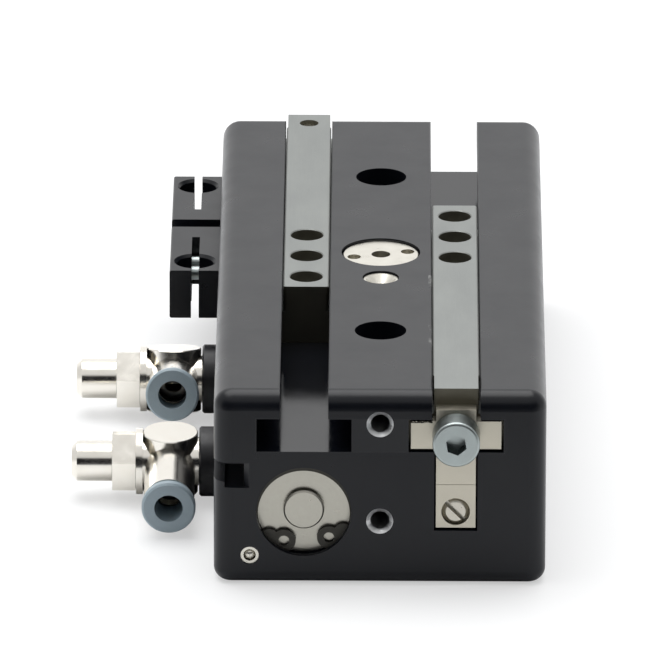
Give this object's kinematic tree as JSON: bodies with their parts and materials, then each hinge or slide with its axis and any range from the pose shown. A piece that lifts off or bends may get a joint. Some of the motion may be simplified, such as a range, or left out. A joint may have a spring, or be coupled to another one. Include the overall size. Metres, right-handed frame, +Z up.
{
  "type": "two-jaw parallel gripper",
  "caption": "Pneumatic two-jaw parallel gripper with T-guided sliding jaw bars, air pistons, a synchronising pinion, side flow-control fittings and clamp brackets for sensors.",
  "frame": {"origin": "middle of the housing's bottom face", "axes": "+X to the right seen from the front, +Y from the front end to the back end along the jaws, +Z up"},
  "size_m": [0.101, 0.1785, 0.043],
  "materials": {
    "black_anodised": "black anodised aluminium, satin",
    "jaw_steel": "ground steel, grey satin",
    "driver_steel": "nickel-plated steel, warm satin",
    "zinc_steel": "blue zinc-plated steel",
    "bright_steel": "bright turned steel",
    "phosphated_steel": "phosphated spring steel",
    "piston_aluminium": "turned aluminium",
    "guide_bronze": "turned bronze",
    "seal_rubber": "moulded nitrile rubber",
    "nickel_brass": "nickel-plated brass",
    "black_plastic": "moulded black plastic",
    "blue_grey_plastic": "moulded blue-grey acetal"
  },
  "bodies": {
    "housing": {"housing": "black_anodised", "pinion_axle": "bright_steel", "grease_nipple": "bright_steel", "duct_plug_front": "bright_steel", "duct_plug_back": "bright_steel", "duct_ball_front": "bright_steel", "duct_ball_back": "bright_steel", "rod_guide_right": "guide_bronze", "rod_guide_left": "guide_bronze", "rod_seal_right": "seal_rubber", "rod_seal_left": "seal_rubber", "cylinder_cap_right": "bright_steel", "cylinder_cap_left": "bright_steel", "cap_seal_right": "seal_rubber", "cap_seal_left": "seal_rubber", "circlip_right": "phosphated_steel", "circlip_left": "phosphated_steel", "sensor_bracket_front": "black_anodised", "sensor_bracket_rear": "black_anodised", "bracket_screws_front": "zinc_steel", "bracket_screws_rear": "zinc_steel", "groove_nut_front": "zinc_steel", "groove_nut_rear": "zinc_steel", "fitting_ring_front": "black_plastic", "fitting_ring_rear": "black_plastic", "fitting_bolt_front": "nickel_brass", "fitting_bolt_rear": "nickel_brass"},
    "right_jaw": {"jaw_right": "jaw_steel", "driver_right": "driver_steel", "driver_screw": "zinc_steel", "piston_rod_right": "bright_steel", "piston_right": "piston_aluminium", "piston_seals_right": "seal_rubber"},
    "left_jaw": {"jaw_left": "jaw_steel", "driver_left": "driver_steel", "driver_pin": "bright_steel", "piston_rod_left": "bright_steel", "piston_left": "piston_aluminium", "piston_seals_left": "seal_rubber"},
    "pinion": {"sync_pinion": "bright_steel"},
    "front_swivel": {"fitting_body_front": "nickel_brass", "tube_collet_front": "nickel_brass", "tube_seal_front": "seal_rubber"},
    "front_release": {"release_ring_front": "blue_grey_plastic"},
    "front_throttle": {"throttle_screw_front": "nickel_brass"},
    "rear_swivel": {"fitting_body_rear": "nickel_brass", "tube_collet_rear": "nickel_brass", "tube_seal_rear": "seal_rubber"},
    "rear_release": {"release_ring_rear": "blue_grey_plastic"},
    "rear_throttle": {"throttle_screw_rear": "nickel_brass"}
  },
  "joints": [
    {"name": "right_jaw_slide", "type": "slide", "parent": "housing", "child": "right_jaw", "axis": [0, 1, 0], "range_m": [0, 0.055]},
    {"name": "left_jaw_slide", "type": "slide", "parent": "housing", "child": "left_jaw", "axis": [0, -1, 0], "range_m": [0, 0.055]},
    {"name": "pinion_spin", "type": "hinge", "parent": "housing", "child": "pinion", "pos_m": [0, 0, 0.0335], "axis": [0, 0, 1], "range_deg": [0, 451]},
    {"name": "front_swivel_turn", "type": "hinge", "parent": "housing", "child": "front_swivel", "pos_m": [-0.0449, -0.035, 0.008], "axis": [-1, 0, 0], "range_deg": [0, 90]},
    {"name": "front_release_push", "type": "slide", "parent": "front_swivel", "child": "front_release", "axis": [0, 0.9994, 0.0349], "range_m": [0, 0.001], "stiffness_N_per_m": 400},
    {"name": "front_throttle_turn", "type": "hinge", "parent": "housing", "child": "front_throttle", "pos_m": [-0.061, -0.035, 0.008], "axis": [-1, 0, 0], "range_deg": [-720, 720]},
    {"name": "rear_swivel_turn", "type": "hinge", "parent": "housing", "child": "rear_swivel", "pos_m": [-0.0449, 0.0144, 0.008], "axis": [-1, 0, 0], "range_deg": [-13, 65]},
    {"name": "rear_release_push", "type": "slide", "parent": "rear_swivel", "child": "rear_release", "axis": [0, 0.9744, -0.225], "range_m": [0, 0.001], "stiffness_N_per_m": 400},
    {"name": "rear_throttle_turn", "type": "hinge", "parent": "housing", "child": "rear_throttle", "pos_m": [-0.061, 0.0144, 0.008], "axis": [-1, 0, 0], "range_deg": [-720, 720]}
  ],
  "couplings": [
    {"joint": "left_jaw_slide", "follows": "right_jaw_slide", "ratio": 1},
    {"joint": "pinion_spin", "follows": "right_jaw_slide", "rad_per_m": 142.86}
  ]
}
